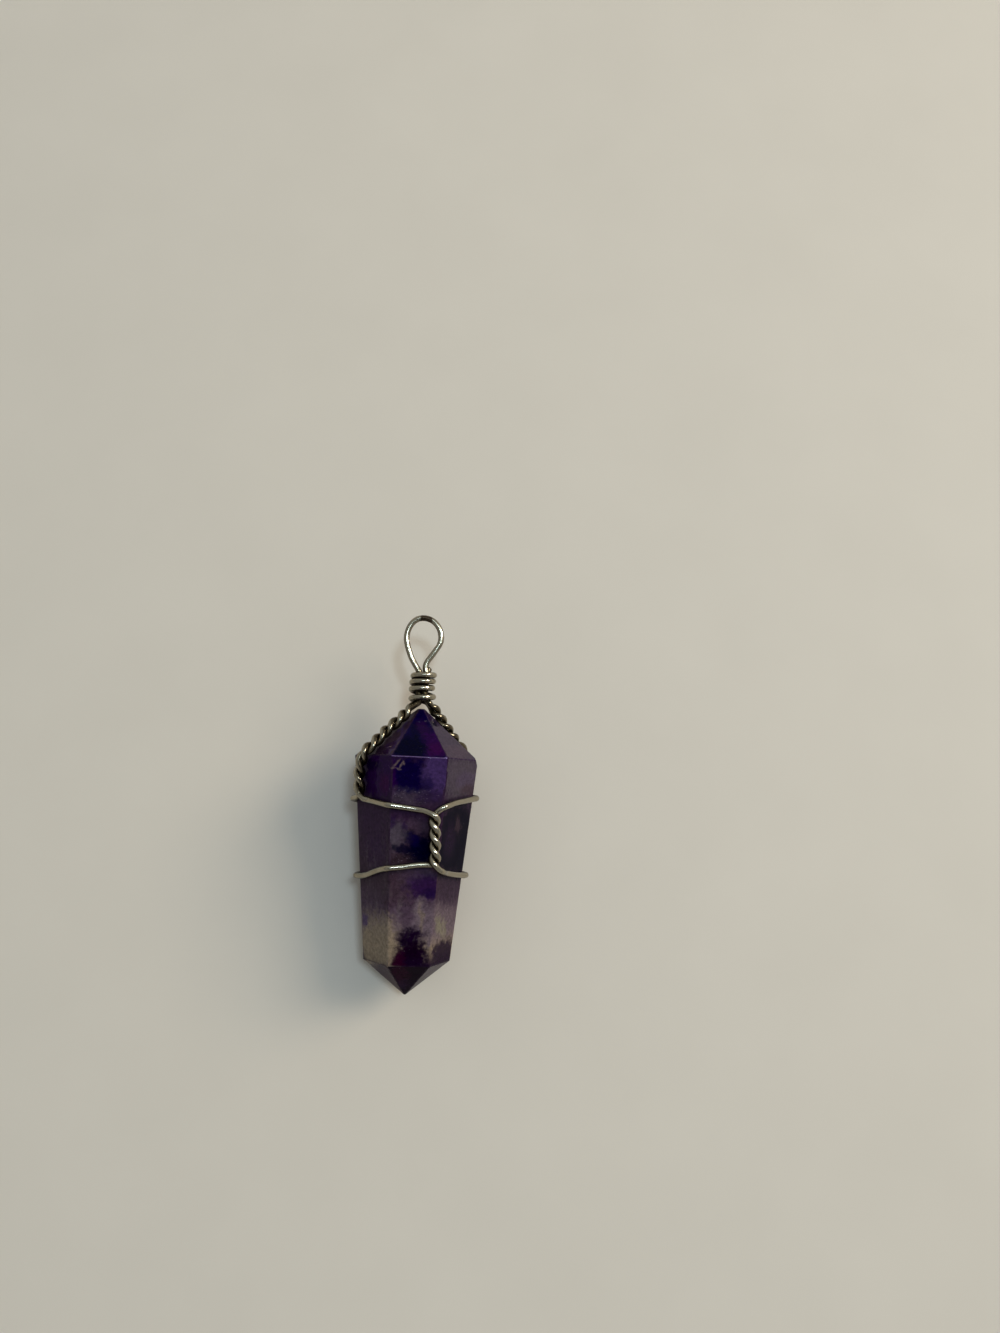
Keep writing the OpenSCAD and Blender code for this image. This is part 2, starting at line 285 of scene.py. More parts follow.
# Bends between the neck and the pairs, each the way its wire runs
LEFT_BEND_OUT = [(-0.4, 7.66, 0.42), (-0.9, 7.3, 0.74), (-1.32, 7.02, 1.12), (-1.66, 6.66, 1.5)]
LEFT_BEND_IN = [
    (-1.4, 6.66, 0.42), (-1.04, 6.96, 0.12), (-0.72, 7.22, -0.14), (-0.38, 7.44, -0.4),
    (-0.1, 7.7, -0.5),
]
RIGHT_BEND_OUT = [(0.98, 7.83, -1.48), (1.42, 7.4, -1.36)]
RIGHT_BEND_IN = [(1.3, 7.65, -0.12)]

LOOP_ROUTE = (
    slot(0, INNER_LOW, BUNDLE_HIGH)
    + curve(LOOP, LOOP_STEPS)
    + slot(1, BUNDLE_LOW, BUNDLE_HIGH)[::-1]
    + LEFT_BEND_OUT
    + strand(LEFT_CORE, EARLY, PAIR_END, 1, FRONT_WAY)
    + band(UPPER_FRONT_LEFT)
    + strand(FRONT_CORE, 0, TWIST_END, 1, FRONT_WAY)
    + band(LOWER_RIGHT)
    + strand(BACK_CORE, TWIST_END, 0, -1, BACK_WAY)
    + band(UPPER_BACK_LEFT)[::-1]
    + strand(LEFT_CORE, PAIR_END - EARLY, 0, -1, FRONT_WAY)
    + LEFT_BEND_IN
    + slot(2, BUNDLE_LOW, INNER_HIGH)
)
COIL_ROUTE = (
    COIL
    + RIGHT_BEND_OUT
    + strand(RIGHT_CORE, 2 * EARLY, PAIR_END - EARLY, -1, FRONT_WAY)
    + band(UPPER_BACK_RIGHT)
    + strand(BACK_CORE, 0, TWIST_END, 1, BACK_WAY)
    + band(LOWER_LEFT)[::-1]
    + strand(FRONT_CORE, TWIST_END, 0, -1, FRONT_WAY)
    + band(UPPER_FRONT_RIGHT)[::-1]
    + strand(RIGHT_CORE, PAIR_END - EARLY, 0, 1, FRONT_WAY)
    + RIGHT_BEND_IN
    + slot(3, BUNDLE_LOW, STUB_LOW)
    + [STUB_END]
)
# Step from one ring of the drawn wire to the next, and the least distance of two route points
RING_STEP, LEAST_APART = 0.085, 0.05
# Fine steps between two route points, and rounds of easing
FINE_STEPS, EASINGS = 8, 3


def smooth_route(points):
    """A centripetal curve through the points, with its kinks eased, as points about RING_STEP
    apart, and how far along it each of them lies."""
    p = [np.asarray(points[0], float)]
    for q in points[1:]:
        if np.linalg.norm(np.asarray(q, float) - p[-1]) > LEAST_APART:
            p.append(np.asarray(q, float))
    p = np.array([2 * p[0] - p[1]] + p + [2 * p[-1] - p[-2]])
    fine = []
    for a, b, c, d in zip(p, p[1:], p[2:], p[3:]):
        t1 = np.linalg.norm(b - a) ** 0.5
        t2 = t1 + np.linalg.norm(c - b) ** 0.5
        t3 = t2 + np.linalg.norm(d - c) ** 0.5
        for t in np.linspace(t1, t2, FINE_STEPS + 1)[:-1]:
            ab = (t1 - t) / t1 * a + t / t1 * b
            bc = (t2 - t) / (t2 - t1) * b + (t - t1) / (t2 - t1) * c
            cd = (t3 - t) / (t3 - t2) * c + (t - t2) / (t3 - t2) * d
            abc = (t2 - t) / t2 * ab + t / t2 * bc
            bcd = (t3 - t) / (t3 - t1) * bc + (t - t1) / (t3 - t1) * cd
            fine.append((t2 - t) / (t2 - t1) * abc + (t - t1) / (t2 - t1) * bcd)
    fine = np.array(fine + [p[-2]])
    along = np.concatenate([[0], np.cumsum(np.linalg.norm(np.diff(fine, axis=0), axis=1))])
    even = np.linspace(0, along[-1], round(along[-1] / RING_STEP) + 1)
    out = np.stack([np.interp(even, along, fine[:, k]) for k in range(3)], axis=1)
    for _ in range(EASINGS):
        out[1:-1] = 0.5 * out[1:-1] + 0.25 * (out[:-2] + out[2:])
    return out, even


# ---- meshes ----
def new_object(name, verts, faces):
    mesh = bpy.data.meshes.new(name)
    mesh.from_pydata(verts, [], faces)
    mesh.update()
    obj = bpy.data.objects.new(name, mesh)
    bpy.context.scene.collection.objects.link(obj)
    return obj


def put(mesh, name, values):
    """Stores a number or a vector for each vertex, for the materials."""
    kind, field = ("FLOAT_VECTOR", "vector") if values.ndim == 2 else ("FLOAT", "value")
    data = mesh.attributes.new(name, kind, "POINT").data
    data.foreach_set(field, np.ascontiguousarray(values, np.float32).ravel())


# Sides of the drawn wire, and the angles of its corners
RING = 20
ANGLES = np.arange(RING) * 2 * math.pi / RING
# Part by which the wire's thickness and roundness vary, and the lengths over which they do
UNEVEN, SWELL_LENGTH, FLAT_LENGTH = 0.012, 1.4, 2.1
# Sets the two wires' unevenness apart
SEED_STEP = 0.37
# The wires' ends: reach, and part of the radius lost, of their rounding and of the cutter's pinch
ROUND_REACH, ROUND_LOSS = 0.09, 0.16
PINCH_REACH, PINCH_LOSS = 0.5, 0.5
# How far the dirt on an end reaches along the wire
TIP_REACH = 0.7
# Height at which the loop starts, the length over which it takes over from the neck, and the
# neck's sideways place
LOOP_LOW, LOOP_BLEND, NECK_X = 11.9, 0.5, 0.2
# Small marks left by pliers: place in the stone's frame, reach, depth
NICKS = [
    ((1.84, 15.6, 0.7), 0.34, 0.05),
    ((-1.9, 15.3, 0.62), 0.3, 0.03),
    ((-7.3, -5.85, 4.6), 0.3, 0.03),
    ((2.6, -6.6, 8.9), 0.3, 0.025),
    ((-4.4, -14.2, 6.9), 0.34, 0.03),
]


def rings_along(path, along, seed, pinched):
    """A ring of points around each point of a wire's path. The wire's thickness is slightly
    uneven, and pinched says how much of the cutter's pinch each of its two ends shows."""
    way = unit(np.gradient(path, axis=0))
    side = np.zeros_like(path)
    side[0] = unit(np.cross(way[0], (0, 0, 1.0) if abs(way[0][2]) < 0.9 else (1.0, 0, 0)))
    for i in range(1, len(path)):
        side[i] = unit(side[i - 1] - (side[i - 1] @ way[i]) * way[i])
    up = np.cross(way, side)
    rings = []
    for i, at in enumerate(along):
        ends = (at, along[-1] - at)
        swell = 1 + UNEVEN * soft_noise.noise(Vector((at / SWELL_LENGTH, seed, 0)))
        swell *= 1 - ROUND_LOSS * max(0, 1 - min(ends) / ROUND_REACH) ** 2
        flat = UNEVEN * soft_noise.noise(Vector((at / FLAT_LENGTH, seed, 7)))
        pinch = PINCH_LOSS * sum(
            max(0, 1 - off / PINCH_REACH) * share for off, share in zip(ends, pinched)
        )
        rings.append(
            path[i]
            + DRAWN_R * swell * (1 + flat) * np.cos(ANGLES)[:, None] * side[i]
            + DRAWN_R * swell * (1 - flat - pinch) * np.sin(ANGLES)[:, None] * up[i]
        )
    return np.concatenate(rings)


def wire(name, route, pinched):
    """A round wire along a route, with what its material needs to know stored at each vertex."""
    path, along = smooth_route(route)
    n = len(path)
    verts = rings_along(path, along, len(route) * SEED_STEP, pinched)
    centre = np.repeat(path, RING, axis=0)
    for place, reach, depth in NICKS:
        hit = np.clip(1 - np.linalg.norm(verts - np.array(place), axis=1) / reach, 0, 1) ** 2
        verts -= unit(verts - centre) * (4 * hit * depth)[:, None].clip(0, depth)
    faces = []
    for a in range(0, (n - 1) * RING, RING):
        for k in range(RING):
            after = (k + 1) % RING
            faces.append((a + k, a + after, a + RING + after, a + RING + k))
    faces += [tuple(range(RING))[::-1], tuple(range((n - 1) * RING, n * RING))]
    obj = new_object(name, to_row(verts).tolist(), faces)
    obj.data.polygons.foreach_set("use_smooth", [True] * (len(faces) - 2) + [False, False])
    put(obj.data, "stone", verts)
    # Along and around the wire, for its drawing marks
    lay = (np.repeat(along, RING), np.tile(np.cos(ANGLES), n), np.tile(np.sin(ANGLES), n))
    put(obj.data, "lay", np.stack(lay, axis=1))
    # How far the wire's surface faces away from the stone or the neck, or across the loop's plane
    # The material darkens the wire where it faces less far, partly as tarnish and partly as
    # painted shade
    normal = unit(verts - centre)
    outward = (normal * unit(centre * (1, 0, 1) - (NECK_X, 0, 0))).sum(axis=1)
    in_loop = np.clip((centre[:, 1] - LOOP_LOW) / LOOP_BLEND, 0, 1)
    put(obj.data, "outward", (1 - in_loop) * outward + in_loop * np.abs(normal[:, 2]))
    to_end = np.repeat(np.minimum(along, along[-1] - along), RING)
    put(obj.data, "tip", np.clip(1 - to_end / TIP_REACH, 0, 1))
    return obj


def nearest_inside(points, distances, rounds=80):
    """The nearest place of the stone to each point, with its planes at these distances (Dykstra's
    method)."""
    x = points.copy()
    kept = np.zeros((len(NORMALS),) + x.shape)
    for _ in range(rounds):
        for k, normal in enumerate(NORMALS):
            y = x + kept[k]
            over = np.maximum(y @ normal - distances[k], 0)
            x = y - over[:, None] * normal
            kept[k] = y - x
    return x


# The block that the stone is cut from, the bevel of its edges and the radius to which they wear
BLOCK, BEVEL, WEAR = 90, 0.1, 0.07
# Length under which an edge keeps its corner, and distance under which vertices are merged
SHORT, MERGE = 0.05, 0.004
# Cuts that refine the stone's mesh: axis, from, to, step
CUTS = [(1, -31, 7, 0.34), (0, -8, 8, 0.42), (2, -7, 7.8, 0.42)]
# Distance from a ridge over which the worn-edge mask fades
EDGE_REACH = 0.6


def cut_by(bm, point, normal, tolerance, outer=False):
    everything = bm.verts[:] + bm.edges[:] + bm.faces[:]
    return bmesh.ops.bisect_plane(
        bm, geom=everything, dist=tolerance, plane_co=point, plane_no=normal, clear_outer=outer
    )


def stone(name):
    """The stone, with softly worn edges."""
    bm = bmesh.new()
    bmesh.ops.create_cube(bm, size=BLOCK)
    for normal, d in zip(NORMALS, DISTANCES):
        cut = cut_by(bm, normal * d, normal, 1e-7, outer=True)
        edges = [g for g in cut["geom_cut"] if isinstance(g, bmesh.types.BMEdge)]
        if edges:
            bmesh.ops.contextual_create(bm, geom=edges)
    sharp = [e for e in bm.edges if e.calc_length() > SHORT]
    bmesh.ops.bevel(
        bm, geom=sharp, offset=BEVEL, segments=3, profile=0.5, affect="EDGES", clamp_overlap=True
    )
    for axis, low, high, step in CUTS:
        way = Matrix.Identity(3)[axis]
        for at in np.arange(low, high, step):
            cut_by(bm, way * at, way, 1e-6)
    bmesh.ops.remove_doubles(bm, verts=bm.verts[:], dist=MERGE)
    bmesh.ops.recalc_face_normals(bm, faces=bm.faces[:])
    raw = np.array([v.co[:] for v in bm.verts])
    # bmesh lists a few faces in another order from run to run, so they are sorted
    faces = sorted(tuple(v.index for v in f.verts) for f in bm.faces)
    bm.free()
    inner = nearest_inside(raw, DISTANCES - WEAR)
    out = unit(raw - inner)
    verts = inner + WEAR * out
    obj = new_object(name, to_row(verts).tolist(), faces)
    obj.data.polygons.foreach_set("use_smooth", [True] * len(faces))
    # The second smallest distance to a plane is small only near an edge
    slack = np.sort(DISTANCES[None, :] - verts @ NORMALS.T, axis=1)
    put(obj.data, "stone", verts)
    put(obj.data, "edge", np.clip(slack[:, 1] / EDGE_REACH, 0, 1))
    put(obj.data, "facet", out)
    obj.data.normals_split_custom_set_from_vertices((out @ TURN.T).tolist())
    return obj


# Rays from a place on a wire, their length and their start off its surface in metres, and the
# angle that spreads them evenly
RAYS, RAY_REACH, RAY_LIFT, GOLDEN_ANGLE = 14, 0.0016, 2e-5, 2.399963


def shut_in(wires, others):
    """Stores how much each place on a wire is shut in by the stone and the other turns, where the
    wire is darkened, partly as tarnish and partly as painted shade. Every second vertex is
    measured, and the ones between take their mean."""
    bpy.context.view_layer.update()
    walls = [
        BVHTree.FromPolygons([v.co for v in m.vertices], [p.vertices[:] for p in m.polygons])
        for m in (obj.data for obj in others + wires)
    ]
    spread = []
    for k in range(RAYS):
        z = (k + 0.5) / RAYS
        r, a = math.sqrt(1 - z * z), k * GOLDEN_ANGLE
        spread.append((r * math.cos(a), r * math.sin(a), z))
    for obj in wires:
        shut = np.zeros(len(obj.data.vertices))
        for v in list(obj.data.vertices)[::2]:
            n = v.normal
            t = n.orthogonal().normalized()
            b = n.cross(t)
            start = v.co + n * RAY_LIFT
            hits = 0.0
            for x, y, z in spread:
                ray = t * x + b * y + n * z
                for tree in walls:
                    found = tree.ray_cast(start, ray, RAY_REACH)
                    if found[0] is not None:
                        hits += 1 - 0.5 * found[3] / RAY_REACH
                        break
            shut[v.index] = hits / RAYS
        odd = np.arange(1, len(shut), 2)
        shut[odd] = 0.5 * (shut[odd - 1] + shut[np.minimum(odd + 1, len(shut) - 1)])
        put(obj.data, "shut", shut)


crystal = stone("amethyst_stone")
hanging = wire("loop_and_band_wire", LOOP_ROUTE, (0, 0))
winding = wire("coil_and_band_wire", COIL_ROUTE, (0.7, 0.5))
shut_in([hanging, winding], [crystal])


# ---- materials ----
# The view's gamma, which lin() takes back, so that a colour shows as it is written
GAMMA = 0.85


def lin(r, g, b):
    """A colour as the picture shows it, 0 to 255, as Blender's linear one."""
    shown = [(c / 255) ** GAMMA for c in (r, g, b)]
    linear = [c / 12.92 if c <= 0.04045 else ((c + 0.055) / 1.055) ** 2.4 for c in shown]
    return (*linear, 1.0)


class Tree:
    """A short way to write the nodes of a material or world. Each call returns the new node's
    output."""

    def __init__(self, owner):
        owner.use_nodes = True
        self.owner = owner
        self.nodes, self.links = owner.node_tree.nodes, owner.node_tree.links
        self.nodes.clear()

    def feed(self, socket, value):
        if isinstance(value, bpy.types.NodeSocket):
            self.links.new(value, socket)
        else:
            socket.default_value = value

    def add(self, kind, inputs=(), out=0, **settings):
        node = self.nodes.new(kind)
        for key, value in settings.items():
            setattr(node, key, value)
        for key, value in dict(inputs).items():
            self.feed(node.inputs[key], value)
        return node.outputs[out]

    def math(self, operation, a, b=0.0, c=0.0, clamp=False):
        return self.add("ShaderNodeMath", {0: a, 1: b, 2: c}, operation=operation, use_clamp=clamp)

    def times(self, a, b):
        return self.math("MULTIPLY", a, b)

    def vector(self, operation, a, b=(0, 0, 0), out=0):
        return self.add("ShaderNodeVectorMath", {0: a, 1: b}, out=out, operation=operation)

    def scaled(self, a, k):
        return self.add("ShaderNodeVectorMath", {0: a, "Scale": k}, operation="SCALE")

    def part(self, vector, axis):
        return self.add("ShaderNodeSeparateXYZ", {0: vector}, out=axis)

    def attribute(self, name, out="Vector"):
        return self.add("ShaderNodeAttribute", out=out, attribute_name=name)

    def noise(self, vector, scale, detail=3.0, rough=0.55, distortion=0.0, out=0):
        values = {"Scale": scale, "Detail": detail, "Roughness": rough, "Distortion": distortion}
        return self.add("ShaderNodeTexNoise", {"Vector": vector, **values}, out=out)

    def drift(self, vector, scale, detail, rough):
        """A vector noise about zero."""
        return self.vector("SUBTRACT", self.noise(vector, scale, detail, rough, out=1), (0.5,) * 3)

    def ramp(self, value, low, high, to_low=0.0, to_high=1.0):
        """Goes smoothly from to_low to to_high while the value goes from low to high."""
        inputs = {"From Min": low, "From Max": high, "To Min": to_low, "To Max": to_high}
        return self.add(
            "ShaderNodeMapRange", {"Value": value, **inputs}, interpolation_type="SMOOTHSTEP"
        )

    def between(self, value, rise, fall):
        """1 where the value is past both soft borders, and 0 outside them."""
        return self.times(self.ramp(value, *rise), self.ramp(value, *fall))

    def gradient(self, value, rows):
        """A colour by value. rows are places from 0 to 1 and colours."""
        out = self.add("ShaderNodeValToRGB", {0: value})
        stops = out.node.color_ramp.elements
        for k, (at, colour) in enumerate(rows):
            stop = stops[k] if k < 2 else stops.new(0.5)
            stop.position, stop.color = at, colour
        return out

    def mix(self, factor, a, b, blend="MIX"):
        # The colour sockets of a Mix node stand at 6 and 7, and its colour output at 2
        inputs = {0: factor, 6: a, 7: b}
        return self.add("ShaderNodeMix", inputs, out=2, data_type="RGBA", blend_type=blend)

    def bump(self, height, strength, distance, under=None, invert=False):
        inputs = {"Strength": strength, "Distance": distance, "Height": height}
        if under is not None:
            inputs["Normal"] = under
        return self.add("ShaderNodeBump", inputs, invert=invert)

    def ellipse(self, point, x, y, across, along, turn):
        """How far a place is from the middle of a turned ellipse: 1 at its rim."""
        off = self.vector("SUBTRACT", point, (x, y, 0))
        if turn:
            inputs = {"Vector": off, "Angle": math.radians(turn)}
            off = self.add("ShaderNodeVectorRotate", inputs, rotation_type="Z_AXIS")
        shrunk = self.vector("MULTIPLY", off, (1 / across, 1 / along, 0))
        return self.vector("LENGTH", shrunk, out=1)

    def finish(self, shader, output="ShaderNodeOutputMaterial"):
        self.links.new(shader, self.nodes.new(output).inputs["Surface"])
        return self.owner


# The shades, as the picture shows them at full light: of the stone's zones, then of its marks, the
# wires and the floor
SHADES = {
    "night": (3, 0, 20), "ink": (0, 0, 27), "indigo": (8, 1, 46), "blue": (22, 2, 84),
    "grape": (28, 4, 50), "violet": (34, 2, 58), "magenta": (52, 0, 56), "lilac": (60, 42, 88),
    "haze": (72, 58, 86), "heather": (53, 43, 63), "plum": (48, 27, 56), "dusk": (50, 36, 54),
    "taupe": (58, 42, 54), "mauve": (68, 52, 68), "cloud": (72, 64, 76), "ash": (98, 84, 94),
    "straw": (122, 118, 96), "sand": (130, 115, 98), "wine": (18, 2, 28), "maroon": (38, 0, 26),
    "slate": (28, 12, 34), "soot": (14, 0, 18), "umber": (40, 28, 34),
    "veil": (118, 104, 116), "thread": (104, 98, 92), "grain": (136, 126, 148),
    "hook": (106, 90, 88), "worn edge": (110, 92, 136), "shoulder line": (124, 106, 158),
    "bright wire": (168, 160, 142), "dull wire": (142, 133, 114), "film_and_shade": (84, 72, 52),
    "flank_shade_and_tarnish": (70, 60, 44), "recess shade and tarnish": (38, 31, 20), "wire tip": (44, 36, 24),
    "brown patch": (58, 42, 28),
    "floor low": (200, 194, 184), "floor high": (206, 200, 190),
}
# Shade along the stone's length: height, shade
LENGTHWISE = [
    (-31.4, "soot"), (-27.6, "wine"), (-26.6, "slate"), (-24.8, "sand"), (-22.5, "ash"),
    (-19.5, "mauve"), (-16.5, "taupe"), (-12, "dusk"), (-7, "plum"), (-4.5, "violet"),
    (0, "grape"), (3.5, "indigo"), (7.1, "grape"),
]
# Soft borders, along the stone, of its pale stretch and of the stretch where threads cross it
PALE, CROSSED = ((-5.0, -18.0), (-27.6, -25.8)), ((-24.6, -23.0), (-17.5, -19.0))
# The stone's facets: the place of each one's plane in ALL_PLANES
FACES = {
    "front": 0, "right": 1, "left": 5, "top": 6, "top right": 7, "top left": 11,
    "bottom": 12, "bottom right": 13, "bottom left": 17,
}
# Patches of the near side, seen through its three long facets, and then those on one facet only,
# some of them partly painted reflections: place across and along, half sizes, turn in degrees,
# shade, strength, softness
PATCHES = {
    "near": [
        (-5.6, -9.5, 1.6, 3.2, 0, "plum", 0.6, 0.6),
        (-4.9, -13.0, 1.2, 2.4, 0, "violet", 0.25, 0.6),
        (-2.6, -17.2, 2.6, 1.8, 0, "taupe", 0.7, 0.6),
        (-5.2, -19.0, 1.6, 2.4, 0, "mauve", 0.5, 0.6),
        (3.6, -20.9, 2.6, 2.2, 0, "ash", 0.8, 0.4),
        (-4.2, -24.6, 2.6, 3.4, 0, "sand", 0.92, 0.6),
        (-2.9, -23.0, 0.7, 2.4, -4, "sand", 0.7, 0.6),
        (-5.9, -22.0, 0.5, 0.8, 0, "lilac", 0.7, 0.6),
        (-3.2, -19.0, 0.35, 1.0, 0, "maroon", 0.2, 0.6),
        (4.7, -25.6, 2.0, 1.9, 8, "slate", 0.95, 0.4),
    ],
    "top": [
        (0, 3, 9, 9, 0, "indigo", 1.0, 0.1),
        (0.4, 3.8, 1.0, 1.3, 0, "grape", 0.9, 0.5),
        (1.7, 1.7, 1.7, 1.9, 15, "violet", 0.95, 0.3),
        (2.0, 1.1, 1.2, 1.0, 0, "magenta", 0.45, 0.6),
        (-1.6, 1.1, 2.2, 1.5, 0, "ink", 1.0, 0.35),
        (-0.9, 3.4, 0.6, 1.2, 0, "ink", 0.6, 0.5),
    ],
    "top right": [
        # The heather and pale mauve of this facet are partly the stone's tone and partly a painted
        # reflection of the floor
        (4, 2, 9, 9, 0, "heather", 1.0, 0.1),
        (5.2, 1.0, 2.2, 1.0, 0, "mauve", 0.5, 0.5),
        (2.1, 4.7, 0.6, 0.5, -40, "ink", 0.8, 0.5),
        (1.0, 5.6, 0.6, 0.8, -30, "grape", 0.7, 0.5),
    ],
    "top left": [
        (-4, 2, 9, 9, 0, "taupe", 1.0, 0.1),
        (-5.6, 0.8, 1.6, 0.8, 0, "slate", 0.8, 0.5),
        (-3.9, 1.2, 0.5, 1.4, 27, "violet", 0.5, 0.5),
        (-1.6, 4.6, 0.6, 1.6, 27, "plum", 0.5, 0.5),
        # A painted reflection: a thin lilac line along the wire pair
        (-2.6, 3.1, 0.22, 3.2, 27, "lilac", 0.6, 0.6),
    ],
    "left": [
        (-5.4, -2.6, 2.4, 3.0, 0, "violet", 0.85, 0.3),
        (-4.5, -3.6, 0.7, 1.2, 0, "magenta", 0.7, 0.6),
        (-6.0, -1.2, 0.9, 0.6, 0, "ink", 0.6, 0.5),
    ],
    "front": [
        (-1.4, -2.2, 2.3, 2.4, 0, "indigo", 1.0, 0.3),
        (-3.8, -2.8, 1.0, 2.2, 0, "violet", 0.9, 0.4),
        (2.3, -2.4, 2.1, 2.7, 0, "lilac", 0.9, 0.22),
        (0.8, -3.7, 0.8, 1.2, 10, "indigo", 0.7, 0.6),
        (-0.6, -5.1, 4.2, 0.9, 0, "cloud", 0.5, 0.7),
        (1.8, -5.0, 1.8, 0.9, 0, "grape", 0.6, 0.6),
        (-1.6, -7.6, 2.6, 1.2, 0, "plum", 0.6, 0.6),
        (0.2, -8.7, 1.6, 0.9, 0, "mauve", 0.6, 0.5),
        (-2.8, -10.0, 1.5, 1.7, 10, "cloud", 0.85, 0.6),
        (-3.3, -8.4, 0.5, 0.9, 20, "grape", 0.6, 0.6),
        (-1.7, -9.0, 0.35, 0.6, 0, "grape", 0.6, 0.6),
        (0.8, -12.1, 1.8, 2.0, 0, "ink", 1.0, 0.35),
        (-1.6, -11.9, 1.7, 0.5, 14, "ink", 0.85, 0.5),
        (-0.2, -10.9, 1.6, 0.9, 35, "ink", 0.85, 0.5),
        (-0.3, -10.7, 0.9, 0.6, 20, "blue", 0.25, 0.7),
        (-2.2, -13.2, 1.9, 0.8, 0, "umber", 0.7, 0.6),
        (1.2, -15.6, 2.5, 1.6, 0, "haze", 0.4, 0.6),
        (1.5, -16.7, 2.3, 1.6, 0, "violet", 0.75, 0.5),
        (2.2, -17.5, 1.2, 0.7, 0, "indigo", 0.5, 0.6),
        (0.9, -20.0, 0.9, 1.9, 6, "ash", 0.95, 0.4),
        (1.2, -20.6, 0.3, 1.6, -4, "sand", 0.5, 0.7),
        (-1.0, -20.4, 0.8, 1.6, 0, "mauve", 0.7, 0.6),
        (3.0, -23.4, 0.6, 1.0, 40, "ash", 0.9, 0.6),
        (-0.1, -23.3, 1.8, 1.5, 0, "wine", 1.0, 0.45),
        (0.2, -25.7, 2.2, 2.0, 0, "wine", 1.0, 0.42),
        (0.5, -24.8, 1.3, 1.0, 0, "soot", 0.8, 0.5),
        (-1.2, -26.2, 0.8, 1.3, 0, "maroon", 0.85, 0.5),
    ],
    "right": [
        # The pale cloud and haze at the top of the right facet are partly clouding and partly a
        # painted reflection of the floor
        (6.0, -2.4, 3.4, 3.2, 0, "cloud", 0.85, 0.4),
        (6.4, -2.6, 1.6, 1.0, 0, "haze", 0.5, 0.5),
        (7.2, -4.2, 1.3, 0.8, 0, "taupe", 0.7, 0.5),
        (5.6, -11.0, 3.2, 5.4, 0, "night", 1.0, 0.25),
        (4.5, -10.6, 0.8, 2.2, 0, "plum", 0.35, 0.6),
        (5.8, -8.7, 0.5, 1.2, -6, "taupe", 0.6, 0.7),
        (5.0, -17.2, 2.4, 2.0, 0, "dusk", 0.8, 0.5),
        (4.1, -21.9, 0.6, 1.5, -24, "straw", 0.65, 0.6),
    ],
    "bottom": [
        (0, -29, 9, 9, 0, "soot", 1.0, 0.1),
        (-1.0, -27.9, 1.2, 1.4, 0, "maroon", 0.7, 0.5),
        (-0.6, -29.6, 0.9, 0.8, 0, "plum", 0.35, 0.6),
    ],
    "bottom left": [
        (-3, -29, 9, 9, 0, "maroon", 0.9, 0.1),
        (-3.6, -27.4, 1.6, 0.8, 0, "taupe", 0.4, 0.6),
        (-5.4, -26.6, 1.3, 1.2, 0, "sand", 0.8, 0.5),
    ],
    "bottom right": [
        (3, -29, 9, 9, 0, "slate", 1.0, 0.1),
        (4.4, -27.4, 2.4, 1.2, -30, "mauve", 0.45, 0.5),
    ],
}
# Strokes of the hooked inclusion: place across and along, half sizes, turn in degrees
HOOK = [
    (-3.15, -0.9, 0.15, 0.65, 38), (-3.55, -1.5, 0.34, 0.12, 0), (-2.5, -1.1, 0.13, 0.55, 30),
    (-2.8, -1.65, 0.28, 0.11, 20), (-2.2, -0.8, 0.14, 0.28, -20),
]
# Swarms of pale grains under the surface: centre and half sizes
SWARMS = [
    ((-0.8, -4.9, 7.4), (4.0, 1.1, 2)),
    ((-1.4, -12.9, 6.5), (2.2, 0.9, 2)),
    ((2.4, -24.9, 5.2), (0.8, 1.3, 1)),
]


def shade(name):
    return lin(*SHADES[name])


def zones(t, moved, facing, ragged):
    """The stone's broad shades: a gradient along it, veils and threads of cloud, the patches."""
    height = t.part(moved, "Y")
    low, high = LENGTHWISE[0][0], LENGTHWISE[-1][0]
    share = t.math("DIVIDE", t.math("SUBTRACT", height, low), high - low)
    rows = [((at - low) / (high - low), shade(name)) for at, name in LENGTHWISE]
    colour = t.gradient(share, rows)
    # Veils and threads are drawn out along the stone, and thicker where its lower half is pale
    veil = t.noise(t.vector("MULTIPLY", moved, (1.0, 0.34, 1.0)), 0.8, 4.0, 0.64, 0.7)
    veil = t.ramp(veil, 0.53, 0.78)
    threads = t.noise(t.vector("MULTIPLY", moved, (1.0, 0.15, 1.0)), 1.3, 3.0, 0.55)
    threads = t.ramp(threads, 0.48, 0.78)
    pale = t.between(height, *PALE)
    veil = t.times(veil, t.math("MULTIPLY_ADD", pale, 0.3, 0.08))
    faint = t.times(threads, t.math("MULTIPLY_ADD", pale, 0.22, 0.02))
    colour = t.mix(t.math("MAXIMUM", veil, faint), colour, shade("veil"))
    for face, patches in PATCHES.items():
        if face == "near":
            seen = t.ramp(t.part(facing, "Z"), 0.42, 0.5)
        else:
            way = NORMALS[FACES[face]].tolist()
            seen = t.ramp(t.vector("DOT_PRODUCT", facing, way, out=1), 0.93, 0.98)
        patched = colour
        for x, y, across, along, turn, name, strength, soft in patches:
            reach = t.ellipse(moved, x, y, across, along, turn)
            reach = t.math("MULTIPLY_ADD", ragged, min(0.62, 1.4 * soft), reach)
            inside = t.ramp(reach, 1 + soft, 1 - soft, 0.0, strength)
            patched = t.mix(inside, patched, shade(name))
        colour = t.mix(seen, colour, patched)
    # Threads over the patches: on the left, and across the whole width in one stretch
    left = t.ramp(t.part(moved, "X"), -1.6, -2.8)
    shown = t.math("MAXIMUM", left, t.between(height, *CROSSED))
    threads = t.times(threads, t.times(pale, shown))
    return t.mix(t.times(threads, 0.22), colour, shade("thread"))


